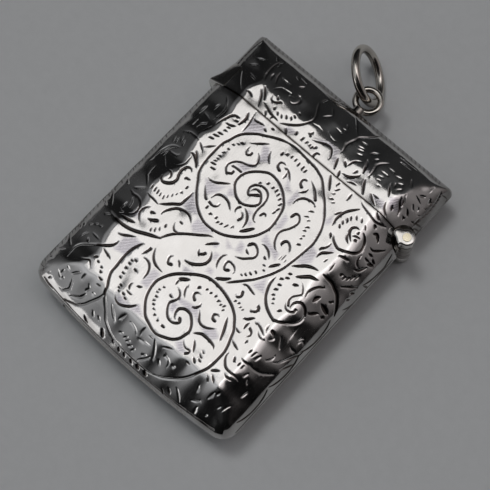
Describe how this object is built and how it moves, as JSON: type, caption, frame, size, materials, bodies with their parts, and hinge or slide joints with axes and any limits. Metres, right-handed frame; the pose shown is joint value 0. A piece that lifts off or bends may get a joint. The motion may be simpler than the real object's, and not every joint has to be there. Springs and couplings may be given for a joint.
{
  "type": "vesta case",
  "caption": "Pillow-shaped pocket match case in engraved silver, with a side-hinged snap lid, a serrated striker in the base and a suspension ring.",
  "frame": {"origin": "middle of the flat back face that the case lies on", "axes": "+X across the faces to the hinge side, +Y to the lid end, +Z from the back face to the front face"},
  "size_m": [0.0369, 0.0566, 0.009],
  "materials": {
    "silver": "polished sterling silver, engraved, dark in the cuts",
    "worn_silver": "dull unpolished silver",
    "gilt": "satin gilding",
    "spring_steel": "brushed",
    "pin_brass": "pale brass, filed flush"
  },
  "bodies": {
    "body": {"body_front_shell": "silver", "body_back_shell": "silver", "striker_bar": "worn_silver", "mouth_bezel": "gilt", "body_hinge_bearer": "worn_silver", "body_knuckle_back": "silver", "body_knuckle_middle": "silver", "body_knuckle_front": "silver", "hinge_pin": "pin_brass", "spring_block": "worn_silver", "lid_spring": "spring_steel", "spring_rivets": "worn_silver"},
    "lid": {"lid_front_shell": "silver", "lid_back_shell": "silver", "thumbpiece": "silver", "lid_hinge_bearer": "worn_silver", "lid_knuckle_back": "silver", "lid_knuckle_front": "silver", "loop_seat": "worn_silver", "ring_loop": "silver"},
    "ring": {"suspension_ring": "silver"}
  },
  "joints": [
    {"name": "lid_hinge", "type": "hinge", "parent": "body", "child": "lid", "pos_m": [0.0172, 0.01335, 0.0045], "axis": [0, 0, -1], "range_deg": [0, 110]},
    {"name": "ring_swing", "type": "hinge", "parent": "lid", "child": "ring", "pos_m": [-0.00028, 0.02602, 0.0045], "axis": [0.4889, 0.216, -0.8452], "range_deg": [-50, 120]}
  ]
}
